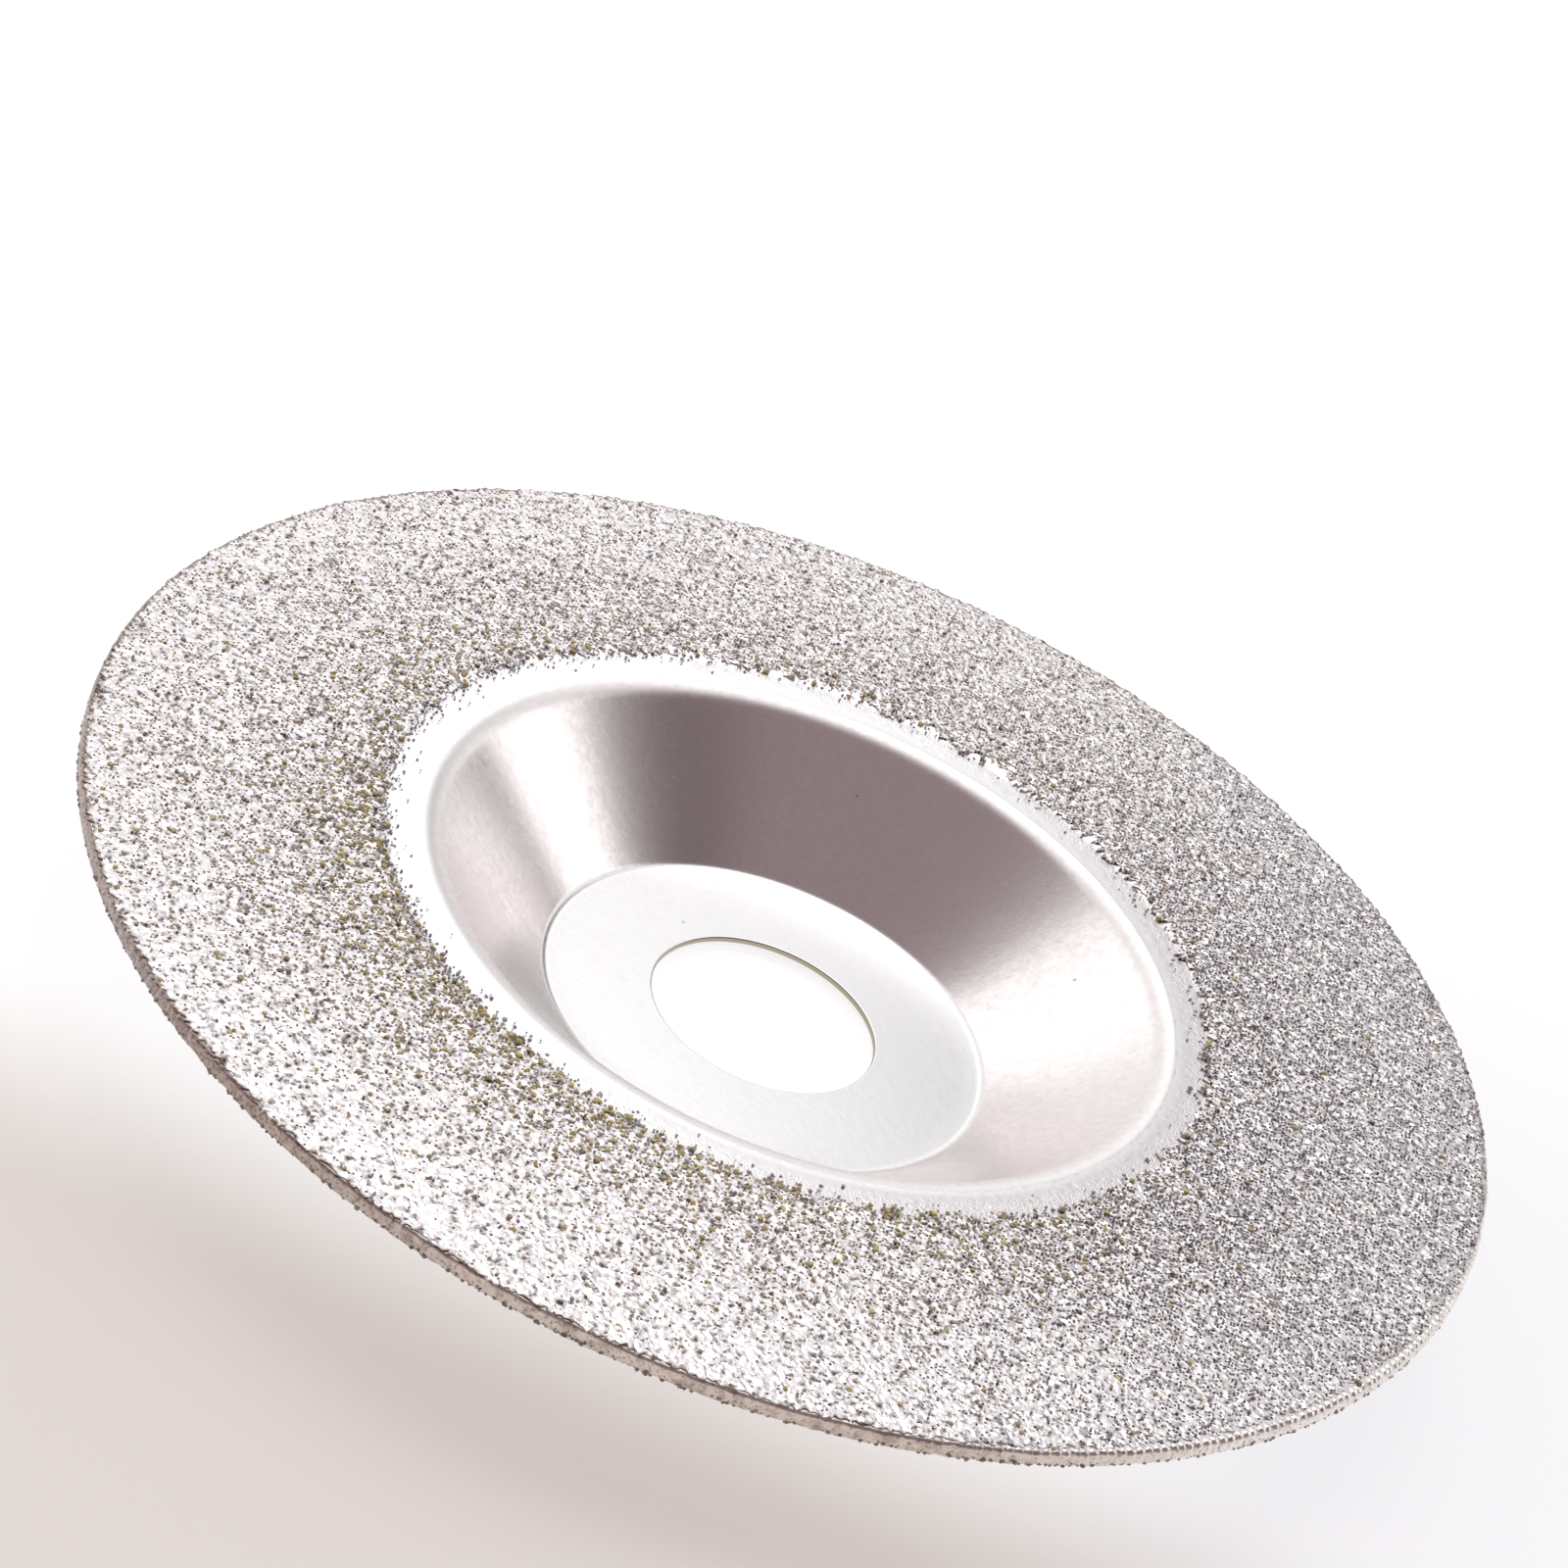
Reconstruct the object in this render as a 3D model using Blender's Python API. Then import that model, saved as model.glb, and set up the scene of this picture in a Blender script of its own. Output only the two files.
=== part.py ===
"""Dished diamond grinding disc for a small angle grinder.

A disc pressed from sheet steel carries an electroplated coat: a nickel bond and a layer of
diamond grit on the front face, a nickel band round the edge, and a little grit that the
plating bath carried over the back corner. Units are metres, +Z is the disc's axis with the
grit face up, and the origin is the middle of the hub's back face.
"""

import math
import random

import bmesh
import bpy

# Pressed steel disc
OUTER_DIAMETER = 0.100  # over the plated edge
SHEET_THICKNESS = 0.0008
PILOT_DIAMETER = 0.016  # spigot of the grinder's flange, which the bore slips over
PILOT_CLEARANCE = 0.0002  # on the diameter
BORE_EDGE_BREAK = 0.00012  # where the punch breaks out at the back
HUB_FLOOR_DIAMETER = 0.032  # front corner of the flat hub and the dish wall
DISH_DEPTH = 0.00845  # front of the rim down to the front of the hub
WALL_ANGLE = math.radians(40.0)  # of the dish wall to the disc's plane
FLOOR_FILLET = 0.001  # front face, at the foot of the wall
SHOULDER_RADIUS = 0.0025  # front face, where the wall turns into the rim

# Electroplated coat
BOND_THICKNESS = 0.00015
BOND_SETBACK = 0.0015  # bare rim between the shoulder and the bond
BOND_MARGIN = 0.0013  # bond left bare inside the grit
GRIT_STANDOUT = 0.0002  # grain tips above the bond
GRIT_ECCENTRICITY = 0.00035  # how far off centre the masking plug sat
GRIT_ECCENTRIC_TOWARDS = math.radians(155.0)
GRIT_RAGGEDNESS = 0.00035  # grains astray at the grit's inner edge
RIM_NIBBLE = 0.00018  # notches between the grains along the rim
EDGE_PLATING = 0.0003
EDGE_ROUNDING = 0.00012
OVERSPILL_WIDTH = 0.0008  # grit on the back face, in from the sheet's edge
OVERSPILL_HEIGHT = 0.00025
BOND_LINE = 0.00002  # between the sheet's edge and the band plated round it

# Finishes: colour, roughness and metallic value
STEEL_FINISH = ((0.62, 0.57, 0.57), 0.32, 1.0)
NICKEL_FINISH = ((0.74, 0.70, 0.67), 0.25, 1.0)
GRIT_FINISH = ((0.58, 0.56, 0.52), 0.35, 0.85)

# Fineness of the facets
DISC_SEGMENTS = 96
GRIT_SEGMENTS = 288
SHOULDER_STEPS = 8
FILLET_STEPS = 5
ROUNDING_STEPS = 3
SHARP_ANGLE = math.radians(32.0)
GRIT_SEED = 11

# Heights and radii that follow from the sizes above
HUB_FRONT = SHEET_THICKNESS
RIM_FRONT = HUB_FRONT + DISH_DEPTH
RIM_BACK = RIM_FRONT - SHEET_THICKNESS
OUTER_RADIUS = OUTER_DIAMETER / 2
SHEET_RADIUS = OUTER_RADIUS - EDGE_PLATING
BORE_RADIUS = (PILOT_DIAMETER + PILOT_CLEARANCE) / 2
FLOOR_CORNER = HUB_FLOOR_DIAMETER / 2
SHOULDER_CORNER = FLOOR_CORNER + DISH_DEPTH / math.tan(WALL_ANGLE)
SHOULDER_OUTER = SHOULDER_CORNER + SHOULDER_RADIUS * math.tan(WALL_ANGLE / 2)
BOND_INNER = SHOULDER_OUTER + BOND_SETBACK
BOND_TOP = RIM_FRONT + BOND_THICKNESS
GRIT_INNER = BOND_INNER + BOND_MARGIN
GRIT_TOP = BOND_TOP + GRIT_STANDOUT


def clear_scene():
    """Removes every object of the opened scene."""
    for thing in list(bpy.data.objects):
        bpy.data.objects.remove(thing, do_unlink=True)


def metal(name, colour, roughness, metallic):
    """A Principled material of one colour."""
    made = bpy.data.materials.new(name)
    made.use_nodes = True
    shader = made.node_tree.nodes["Principled BSDF"]
    shader.inputs["Base Color"].default_value = (*colour, 1.0)
    shader.inputs["Roughness"].default_value = roughness
    shader.inputs["Metallic"].default_value = metallic
    return made


def circle(radius, height, segments):
    """A loop of points round the axis."""
    turn = 2 * math.pi / segments
    return [
        (radius * math.cos(turn * step), radius * math.sin(turn * step), height)
        for step in range(segments)
    ]


def uneven_circle(radii, height):
    """A loop of points round the axis, each at its own radius."""
    turn = 2 * math.pi / len(radii)
    return [
        (radius * math.cos(turn * step), radius * math.sin(turn * step), height)
        for step, radius in enumerate(radii)
    ]


def ring_body(name, loops, material):
    """A closed ring whose section runs through the loops in order and back to the first."""
    mesh = bpy.data.meshes.new(name)
    work = bmesh.new()
    rows = [[work.verts.new(point) for point in loop] for loop in loops]
    for row, following in zip(rows, rows[1:] + rows[:1]):
        count = len(row)
        for step in range(count):
            after = (step + 1) % count
            work.faces.new((row[step], row[after], following[after], following[step]))
    bmesh.ops.recalc_face_normals(work, faces=work.faces)
    work.to_mesh(mesh)
    work.free()
    mesh.shade_smooth()
    mesh.set_sharp_from_angle(angle=SHARP_ANGLE)
    mesh.materials.append(material)
    made = bpy.data.objects.new(name, mesh)
    bpy.context.scene.collection.objects.link(made)
    return made


def floor_arc(offset, steps):
    """Section points round the foot of the wall, offset behind the front face, hub to wall."""
    centre_radius = FLOOR_CORNER - FLOOR_FILLET * math.tan(WALL_ANGLE / 2)
    centre_height = HUB_FRONT + FLOOR_FILLET
    reach = FLOOR_FILLET + offset
    turns = [WALL_ANGLE * step / steps for step in range(steps + 1)]
    return [
        (centre_radius + reach * math.sin(turn), centre_height - reach * math.cos(turn))
        for turn in turns
    ]


def shoulder_arc(offset, steps):
    """Section points over the shoulder, offset behind the front face, wall to rim."""
    centre_height = RIM_FRONT - SHOULDER_RADIUS
    reach = SHOULDER_RADIUS - offset
    turns = [WALL_ANGLE * (1 - step / steps) for step in range(steps + 1)]
    return [
        (SHOULDER_OUTER - reach * math.sin(turn), centre_height + reach * math.cos(turn))
        for turn in turns
    ]


def pressed_disc(steel):
    """The sheet steel body: bore, flat hub, conical dish wall, rounded shoulder and flat rim."""
    front = [(BORE_RADIUS, HUB_FRONT)]
    front += floor_arc(0, FILLET_STEPS)
    front += shoulder_arc(0, SHOULDER_STEPS)
    front += [(SHEET_RADIUS, RIM_FRONT)]
    back = [(BORE_RADIUS, BORE_EDGE_BREAK), (BORE_RADIUS + BORE_EDGE_BREAK, 0)]
    back += floor_arc(SHEET_THICKNESS, FILLET_STEPS)
    back += shoulder_arc(SHEET_THICKNESS, FILLET_STEPS)
    back += [(SHEET_RADIUS, RIM_BACK)]
    section = front + back[::-1]
    loops = [circle(radius, height, DISC_SEGMENTS) for radius, height in section]
    return ring_body("pressed_disc", loops, steel)


def front_nickel_bond(nickel):
    """The flat nickel layer that holds the grit to the rim's front."""
    section = [
        (BOND_INNER, RIM_FRONT),
        (OUTER_RADIUS, RIM_FRONT),
        (OUTER_RADIUS, BOND_TOP),
        (BOND_INNER, BOND_TOP),
    ]
    loops = [circle(radius, height, DISC_SEGMENTS) for radius, height in section]
    return ring_body("front_nickel_bond", loops, nickel)


def ragged_radii(base, spread, draws):
    """Radii round a ragged edge: each point strays by up to the spread, half of it with its neighbour."""
    strays = [draws.uniform(-1, 1) for step in range(GRIT_SEGMENTS)]
    return [
        base + spread * (strays[step] + strays[step - 1]) / 2
        for step in range(GRIT_SEGMENTS)
    ]


def front_diamond_grit(grit, draws):
    """The layer of packed grains on the bond, ragged inside and nibbled along the rim."""
    turn = 2 * math.pi / GRIT_SEGMENTS
    inner = [
        radius + GRIT_ECCENTRICITY * math.cos(turn * step - GRIT_ECCENTRIC_TOWARDS)
        for step, radius in enumerate(ragged_radii(GRIT_INNER, GRIT_RAGGEDNESS, draws))
    ]
    outer = [OUTER_RADIUS - RIM_NIBBLE * draws.random() for step in range(GRIT_SEGMENTS)]
    loops = [
        uneven_circle(inner, BOND_TOP),
        uneven_circle(outer, BOND_TOP),
        uneven_circle(outer, GRIT_TOP),
        uneven_circle(inner, GRIT_TOP),
    ]
    return ring_body("front_diamond_grit", loops, grit)


def edge_nickel_band(nickel):
    """The nickel plated round the sheet's edge, with rounded corners."""
    inner = SHEET_RADIUS + BOND_LINE
    centre = OUTER_RADIUS - EDGE_ROUNDING
    turns = [math.pi / 2 * step / ROUNDING_STEPS for step in range(ROUNDING_STEPS + 1)]
    rise = [
        (centre + EDGE_ROUNDING * math.sin(turn), RIM_BACK + EDGE_ROUNDING * (1 - math.cos(turn)))
        for turn in turns
    ]
    fall = [
        (centre + EDGE_ROUNDING * math.cos(turn), RIM_FRONT - EDGE_ROUNDING * (1 - math.sin(turn)))
        for turn in turns
    ]
    section = [(inner, RIM_BACK)] + rise + fall + [(inner, RIM_FRONT)]
    loops = [circle(radius, height, DISC_SEGMENTS) for radius, height in section]
    return ring_body("edge_nickel_band", loops, nickel)


def back_corner_grit(grit, draws):
    """The narrow ragged ring of grit carried over the back corner."""
    inner = ragged_radii(SHEET_RADIUS - OVERSPILL_WIDTH, GRIT_RAGGEDNESS, draws)
    outer = [
        OUTER_RADIUS - EDGE_ROUNDING - RIM_NIBBLE * draws.random()
        for step in range(GRIT_SEGMENTS)
    ]
    loops = [
        uneven_circle(inner, RIM_BACK),
        uneven_circle(inner, RIM_BACK - OVERSPILL_HEIGHT),
        uneven_circle(outer, RIM_BACK - OVERSPILL_HEIGHT),
        uneven_circle(outer, RIM_BACK),
    ]
    return ring_body("back_corner_grit", loops, grit)


def main():
    """Builds the disc and its coat under one empty on the axis."""
    clear_scene()
    draws = random.Random(GRIT_SEED)
    steel = metal("satin_pressed_steel", *STEEL_FINISH)
    nickel = metal("bright_nickel", *NICKEL_FINISH)
    grit = metal("diamond_grit_in_nickel", *GRIT_FINISH)
    axis = bpy.data.objects.new("grinding_disc", None)
    bpy.context.scene.collection.objects.link(axis)
    pieces = [
        pressed_disc(steel),
        front_nickel_bond(nickel),
        front_diamond_grit(grit, draws),
        edge_nickel_band(nickel),
        back_corner_grit(grit, draws),
    ]
    for piece in pieces:
        piece.parent = axis


main()
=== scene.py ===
"""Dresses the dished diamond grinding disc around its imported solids.

The disc is pressed from satin steel, and its flat rim is electroplated: a frosted nickel bond, a
bed of nickel-clad grit with bare diamonds in it, a nickel band round the edge, and some grit that
was carried over the back corner. Pieces are in metres, in the frame of the solids, and finishes
read their places in millimetres. Across is +X, to the photo's right, and ahead is +Y, into it.
"""

import logging
import math
from dataclasses import dataclass
from enum import Enum
from typing import Any, Mapping

import bpy
import numpy as np
from bpy.types import Material, NodeSocket, Object, World
from mathutils import Matrix, Vector
from mathutils.geometry import delaunay_2d_cdt


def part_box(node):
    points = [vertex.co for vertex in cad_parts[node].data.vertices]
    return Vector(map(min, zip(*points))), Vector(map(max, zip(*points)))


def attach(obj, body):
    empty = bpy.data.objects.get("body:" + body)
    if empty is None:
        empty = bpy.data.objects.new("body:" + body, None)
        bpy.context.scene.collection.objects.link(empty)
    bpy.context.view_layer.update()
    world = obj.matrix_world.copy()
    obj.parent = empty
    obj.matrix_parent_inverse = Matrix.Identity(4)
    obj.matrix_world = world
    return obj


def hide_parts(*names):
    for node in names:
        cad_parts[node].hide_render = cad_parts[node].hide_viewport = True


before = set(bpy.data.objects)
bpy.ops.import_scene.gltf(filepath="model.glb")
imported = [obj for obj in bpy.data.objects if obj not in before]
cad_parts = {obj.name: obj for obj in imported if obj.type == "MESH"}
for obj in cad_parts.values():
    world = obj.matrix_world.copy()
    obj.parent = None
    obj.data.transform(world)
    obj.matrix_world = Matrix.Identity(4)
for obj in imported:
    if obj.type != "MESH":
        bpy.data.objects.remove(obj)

Triple = tuple[float, float, float]
Colour = Triple
Span = tuple[float, float]
Section = list[Span]  # radius and height of each point
Values = Mapping[int | str, Any]
Array = np.ndarray
Draws = np.random.Generator

LOG = logging.getLogger("grinding_disc")
TURN = 2 * math.pi
QUARTER = math.pi / 2
MILLIMETRES = 1000.0  # in a metre
WELD = 1e-7  # millimetres within which two points are one
BODY = "root"
WHITE: Colour = (1.0, 1.0, 1.0)
NOISE_MEAN = 0.5
UNDERSIDE = 0.1  # share of the UV map's width that a hidden underside gets


class Slot(Enum):
    """Names of material slots, which the pieces are handed but do not use."""

    STEEL = "pressed_steel"
    BOND = "nickel_bond"
    GRIT = "diamond_grit"
    EDGE = "nickel_edge"


class Side(Enum):
    """Face of the rim that a coat lies on, as the direction in which it stands up."""

    FRONT = 1
    BACK = -1


class Mark(Enum):
    """Values kept at the points of a mesh, for its finish to read."""

    # painted shade, marked at the grit's pits and outer edge and in the band's grooves and crest
    PAINTED_SHADE = "painted_shade"
    TONE = "grain_tone"


class Signal:
    """An output in a node tree, so that shader maths reads as an expression."""

    def __init__(self, graph: "Graph", socket: NodeSocket | None) -> None:
        """Wraps one output socket of a graph, or nothing where a node ends the tree."""
        self.graph = graph
        self.socket = socket

    def _math(self, operation: str, *terms: "Signal | float") -> "Signal":
        """Result of one Math node with the terms in its sockets, in order."""
        return self.graph.node("ShaderNodeMath", {"operation": operation}, dict(enumerate(terms)))

    def __add__(self, other: "Signal | float") -> "Signal":
        """Sum."""
        return self._math("ADD", self, other)

    def __sub__(self, other: "Signal | float") -> "Signal":
        """Difference."""
        return self._math("SUBTRACT", self, other)

    def __rsub__(self, other: float) -> "Signal":
        """Difference from a number."""
        return self._math("SUBTRACT", other, self)

    def __mul__(self, other: "Signal | float") -> "Signal":
        """Product."""
        return self._math("MULTIPLY", self, other)

    __radd__ = __add__
    __rmul__ = __mul__

    def at_most(self, other: "Signal | float") -> "Signal":
        """The lesser of the two."""
        return self._math("MINIMUM", self, other)

    def at_least(self, other: "Signal | float") -> "Signal":
        """The greater of the two."""
        return self._math("MAXIMUM", self, other)

    def magnitude(self) -> "Signal":
        """The value without its sign."""
        return self._math("ABSOLUTE", self)

    def ease(self, low: float, high: float) -> "Signal":
        """Smooth step from 0 at low to 1 at high.

        Args:
            low: Value where the step starts.
            high: Value where the step ends; below low, the step falls.

        Returns:
            The step, between 0 and 1.
        """
        first, last = sorted((low, high))
        rise = float(low < high)
        limits = {"From Min": first, "From Max": last, "To Min": 1 - rise, "To Max": rise}
        settings = {"interpolation_type": "SMOOTHSTEP"}
        return self.graph.node("ShaderNodeMapRange", settings, {"Value": self, **limits})


class Graph:
    """Node tree of a material or a world."""

    def __init__(self, owner: Material | World) -> None:
        """Gives the owner an empty tree."""
        owner.use_nodes = True
        owner.node_tree.nodes.clear()
        self.owner = owner
        self.tree = owner.node_tree

    def node(
        self, kind: str, settings: Values | None = None, values: Values | None = None, output: int | str = 0
    ) -> Signal:
        """Adds any node.

        Args:
            kind: The node's type.
            settings: Properties, set first.
            values: Values or signals for its sockets, by name or by place.
            output: Name or place of the output that is wanted.

        Returns:
            That output, empty for a node that ends the tree.
        """
        made = self.tree.nodes.new(kind)
        for name, setting in (settings or {}).items():
            setattr(made, name, setting)
        for name, value in (values or {}).items():
            socket = self._socket(made.inputs, name)
            if isinstance(value, Signal):
                self.tree.links.new(value.socket, socket)
            else:
                socket.default_value = (*value, 1.0) if socket.type == "RGBA" else value
        return Signal(self, self._socket(made.outputs, output) if made.outputs else None)

    @staticmethod
    def _socket(sockets: Any, name: int | str) -> NodeSocket:
        """The socket at a place, or the one in use with a name."""
        named = (socket for socket in sockets if socket.name == name and socket.enabled)
        return sockets[name] if isinstance(name, int) else next(named)

    def mix(self, share: Signal | float, first: Any, second: Any) -> Signal:
        """A colour between two colours or signals, by the share of the second."""
        values = {"Factor": share, "A": first, "B": second}
        return self.node("ShaderNodeMix", {"data_type": "RGBA"}, values, "Result")

    def scaled(self, vector: Any, level: Signal | float) -> Signal:
        """A colour or a vector times a level."""
        return self.node("ShaderNodeVectorMath", {"operation": "SCALE"}, {0: vector, "Scale": level})

    def stretched(self, place: Signal, shares: Triple) -> Signal:
        """A place with its three components scaled, so that what is drawn on it is stretched."""
        return self.node("ShaderNodeVectorMath", {"operation": "MULTIPLY"}, {0: place, 1: shares})

    def place(self) -> Signal:
        """The point on the piece, in millimetres."""
        return self.scaled(self.node("ShaderNodeTexCoord", output="Object"), MILLIMETRES)

    def radius(self, place: Signal) -> Signal:
        """Distance of a place from the axis."""
        flat = self.stretched(place, (1.0, 1.0, 0.0))
        return self.node("ShaderNodeVectorMath", {"operation": "LENGTH"}, {0: flat}, "Value")

    def parts(self, vector: Signal) -> list[Signal]:
        """The three components of a vector."""
        split = self.node("ShaderNodeSeparateXYZ", values={"Vector": vector})
        return [Signal(self, socket) for socket in split.socket.node.outputs]

    def mark(self, mark: Mark) -> Signal:
        """A value that the piece keeps at its points."""
        return self.node("ShaderNodeAttribute", {"attribute_name": mark.value}, output="Fac")

    def noise(self, place: Signal, clouds: "Clouds") -> Signal:
        """The noise of a layer of clouds at a place, from 0 to 1."""
        values = {"Vector": place, "Scale": 1 / clouds.size, "Detail": clouds.octaves, "Roughness": 0.6}
        return self.node("ShaderNodeTexNoise", values=values)

    def cells(self, place: Signal, size: float, output: str, dimensions: str = "3D") -> Signal:
        """Cells of a size in millimetres: the Distance from their middles, or a Color by chance."""
        settings = {"voronoi_dimensions": dimensions}
        return self.node("ShaderNodeTexVoronoi", settings, {"Vector": place, "Scale": 1 / size}, output)

    def bump(self, height: Signal, strength: float, depth: float) -> Signal:
        """A normal bumped by a height from 0 to 1, with a strength and a depth in metres."""
        values = {"Height": height, "Strength": strength, "Distance": depth}
        return self.node("ShaderNodeBump", values=values)

    def surface(self, colour: Signal, roughness: Signal, **others: Any) -> Material:
        """Ends a material with one Principled shader.

        Args:
            colour: Its Base Color.
            roughness: Its Roughness.
            others: Values or signals for its other sockets.

        Returns:
            The material.
        """
        values = {"Base Color": colour, "Roughness": roughness, **others}
        shader = self.node("ShaderNodeBsdfPrincipled", values=values)
        self.node("ShaderNodeOutputMaterial", values={"Surface": shader})
        return self.owner


@dataclass(frozen=True)
class Clouds:
    """A layer of cloudy noise that soils a finish."""

    size: float  # width of a cloud, in millimetres
    octaves: float
    levels: Span = (0.0, 1.0)  # of the noise, where the layer begins and where it is full
    flat: float = 0.0  # how far it soils flat sheet
    wall: float = 0.0  # how far it soils the drawn wall

    def cover(self, graph: Graph, place: Signal) -> Signal:
        """How far the layer covers a place."""
        return graph.noise(place, self).ease(*self.levels)

    def soil(self, cover: Signal, drawn: Signal) -> Signal:
        """How far a cover soils sheet that is flat, or drawn."""
        return cover * (drawn * (self.wall - self.flat) + self.flat)


@dataclass(frozen=True)
class SatinSteel:
    """Satin of the pressed sheet: frosted and mottled where it was drawn, dull in the punched bore."""

    clean: Colour = (0.84, 0.824, 0.829)
    hub: Colour = (0.775, 0.762, 0.77)
    drawn: Colour = (0.85, 0.808, 0.803)
    stained: Colour = (0.60, 0.55, 0.54)
    speck: Colour = (0.36, 0.33, 0.33)
    torn: Colour = (0.40, 0.365, 0.275)
    sheared: Colour = (0.97, 0.96, 0.95)
    stains: Clouds = Clouds(5.0, 5.0, (0.5, 0.75), flat=0.1, wall=0.05)
    mottle: Clouds = Clouds(0.7, 5.0, (0.3, 0.7), flat=0.1, wall=0.22)
    speckle: Clouds = Clouds(0.3, 2.0, (0.4, 0.65), wall=0.12)
    wipes: Clouds = Clouds(0.35, 3.0, (0.58, 0.72), flat=0.06, wall=0.06)
    wipe_stretch: Triple = (0.06, 1.0, 1.0)
    speck_spacing: float = 5.5
    speck_edge: Span = (0.035, 0.015)  # from a speck's middle, as a share of the spacing
    speck_share: float = 0.8
    roughness: float = 0.22
    roughening: Triple = (0.06, 0.04, 0.18)  # by the mottle, the soil and the peel
    frost: Clouds = Clouds(0.1, 2.0)
    mottle_height: float = 0.6  # in the relief, against the frost's
    relief: Span = (0.3, 0.00001)  # strength, and depth in metres
    bore_edge: Span = (8.17, 8.13)  # radii, as are those below
    hub_edge: Span = (15.9, 15.3)
    wall_foot: Span = (15.3, 16.6)
    wall_top: Span = (27.4, 26.0)
    peel: Span = (25.0, 26.2)  # where the wall turns rough under its top
    tear: Span = (0.34, 0.5)  # heights where the bore's sheared half meets its torn half

    def material(self) -> Material:
        """Builds the finish.

        Returns:
            Its material.
        """
        graph = Graph(bpy.data.materials.new("satin_steel"))
        place = graph.place()
        radius = graph.radius(place)
        below_top = radius.ease(*self.wall_top)
        drawn = radius.ease(*self.wall_foot) * below_top
        peeled = radius.ease(*self.peel) * below_top
        layers = (self.stains, self.mottle, self.speckle)
        stains, mottle, speckle = (layer.cover(graph, place) for layer in layers)
        wipes = self.wipes.cover(graph, graph.stretched(place, self.wipe_stretch))
        soiled = self.stains.soil(stains, drawn) + self.wipes.soil(wipes, drawn)
        soiled = soiled + self.mottle.soil(mottle, drawn) + self.speckle.soil(speckle, drawn)
        specks = graph.cells(place, self.speck_spacing, "Distance").ease(*self.speck_edge)
        frost = graph.noise(place, self.frost)
        flat = graph.mix(radius.ease(*self.hub_edge), self.clean, self.hub)
        satin = graph.mix(soiled, graph.mix(drawn, flat, self.drawn), self.stained)
        sheet = graph.mix(specks * self.speck_share, satin, self.speck)
        bore = graph.mix(graph.parts(place)[2].ease(*self.tear), self.sheared, self.torn)
        by_mottle, by_soil, by_peel = self.roughening
        rougher = (mottle - NOISE_MEAN) * by_mottle + (stains + wipes) * by_soil + peeled * by_peel
        colour = graph.mix(radius.ease(*self.bore_edge), sheet, bore)
        normal = graph.bump(frost * (drawn + 1) + mottle * self.mottle_height, *self.relief)
        return graph.surface(colour, self.roughness + rougher, Metallic=1.0, Normal=normal)


@dataclass(frozen=True)
class FrostedNickel:
    """Frosted nickel of the bond: as smooth as the steel where it starts, lumpy towards the grit, with
    painted shade towards the right.
    """

    thin: Colour = (0.84, 0.824, 0.829)
    bright: Colour = (0.90, 0.875, 0.88)
    dull: Colour = (0.68, 0.645, 0.65)
    dullness: float = 0.6  # of the clouds
    # painted shade: the darker colour that the margin takes towards the right
    right_shade: Colour = (0.66, 0.615, 0.62)
    right_shade_share: float = 0.65
    right_shade_lean: float = 0.3  # turn of the painted shade towards the near side
    right_shade_reach: Span = (-8.0, 26.0)  # places across, from unshaded to full painted shade
    right_shade_start: Span = (27.0, 27.7)  # radii
    frosting: Span = (27.2, 28.9)  # radii, from smooth to lumpy
    clouds: Clouds = Clouds(1.0, 4.0, (0.42, 0.75))
    lump_size: float = 0.2
    sparkle: Clouds = Clouds(0.1, 2.0)
    roughness: float = 0.32
    roughening: float = 0.3  # by the sparkle
    relief: Span = (0.5, 0.00003)

    def material(self) -> Material:
        """Builds the finish.

        Returns:
            Its material.
        """
        graph = Graph(bpy.data.materials.new("frosted_nickel"))
        place = graph.place()
        radius = graph.radius(place)
        across, ahead, _ = graph.parts(place)
        frosted = radius.ease(*self.frosting)
        lumps = graph.cells(place, self.lump_size, "Distance")
        sparkle = graph.noise(place, self.sparkle)
        plated = graph.mix(self.clouds.cover(graph, place) * self.dullness, self.bright, self.dull)
        # painted shade: the margin darkens towards the right and the near side
        aside = (across - ahead * self.right_shade_lean).ease(*self.right_shade_reach)
        right_shade = aside * radius.ease(*self.right_shade_start) * self.right_shade_share
        colour = graph.mix(right_shade, graph.mix(frosted, self.thin, plated), self.right_shade)
        roughness = self.roughness + (sparkle - NOISE_MEAN) * frosted * self.roughening
        normal = graph.bump((lumps + sparkle) * frosted, *self.relief)
        return graph.surface(colour, roughness, Metallic=1.0, Normal=normal)


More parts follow.
